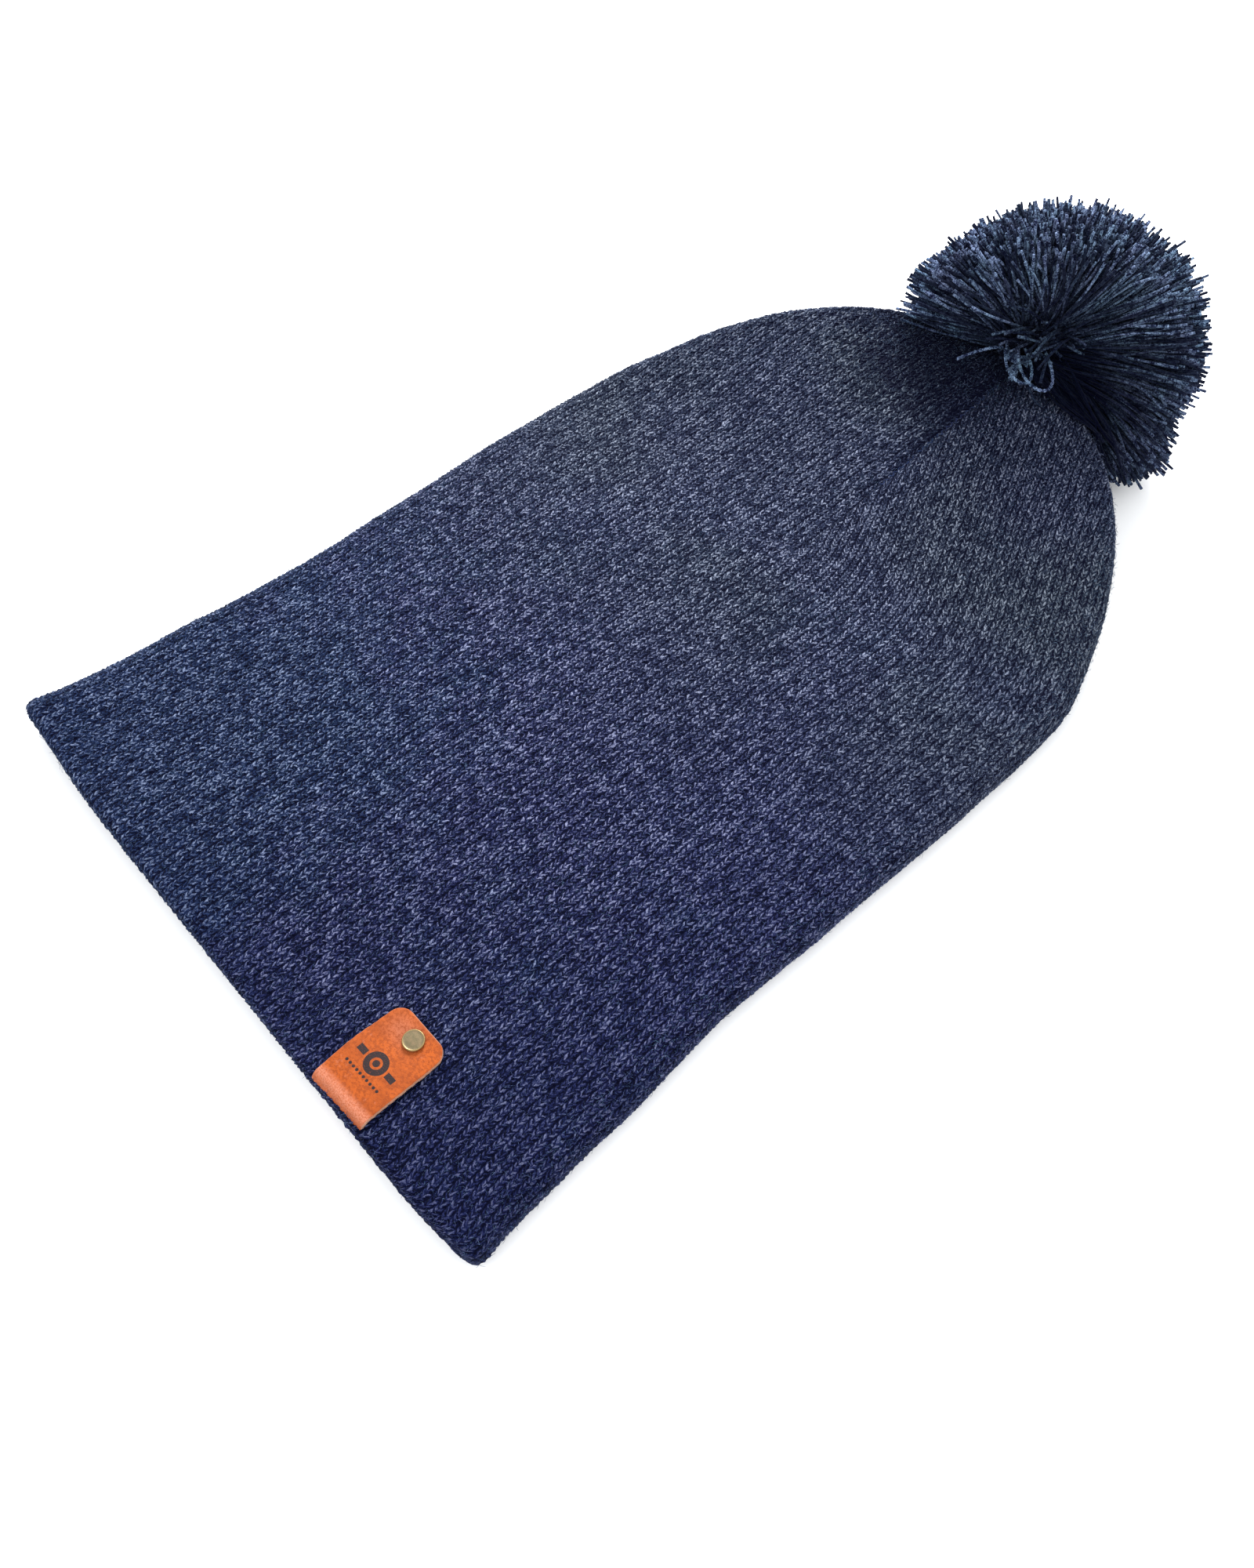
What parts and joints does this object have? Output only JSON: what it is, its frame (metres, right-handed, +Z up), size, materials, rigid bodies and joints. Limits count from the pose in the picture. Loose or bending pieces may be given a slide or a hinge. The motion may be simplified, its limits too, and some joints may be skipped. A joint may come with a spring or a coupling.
{
  "type": "pom pom beanie",
  "caption": "Long double-layer knitted cap lying flat, with a dart-shaped crown, a yarn pom tied to its tip and a leather tag riveted round the brim.",
  "frame": {"origin": "centre of the bounding box's footprint, on the table", "axes": "+Z up off the table, +Y from the brim toward the pom, +X to the right seen from the brim"},
  "size_m": [0.2192, 0.377, 0.084],
  "materials": {
    "shell_knit": "fuzzy heathered fine knit",
    "lining_knit": "fine knit",
    "seam_thread": "matte thread",
    "tag_leather": "smooth, lightly grained, satin",
    "rivet_brass": "aged, satin",
    "tie_yarn": "twisted yarn",
    "pom_yarn": "cut yarn"
  },
  "bodies": {
    "hat": {"knit_shell": "shell_knit", "knit_lining": "lining_knit", "crown_seam_top": "seam_thread", "crown_seam_bottom": "seam_thread", "crown_seam_left": "seam_thread", "crown_seam_right": "seam_thread", "leather_tag": "tag_leather", "rivet_cap": "rivet_brass", "rivet_base": "rivet_brass"},
    "pom_tie": {"tie_cord": "tie_yarn", "anchor_knot": "tie_yarn"},
    "pom": {"pom_yarn": "pom_yarn", "pom_binding": "tie_yarn"}
  },
  "joints": [
    {"name": "pom_twist", "type": "hinge", "parent": "hat", "child": "pom_tie", "pos_m": [0.008, 0.1305, 0.036], "axis": [0, 0, 1], "range_deg": [-15, 15]},
    {"name": "pom_lift", "type": "hinge", "parent": "pom_tie", "child": "pom", "pos_m": [0.008, 0.1305, 0.036], "axis": [1, 0, 0], "range_deg": [0, 18]}
  ]
}
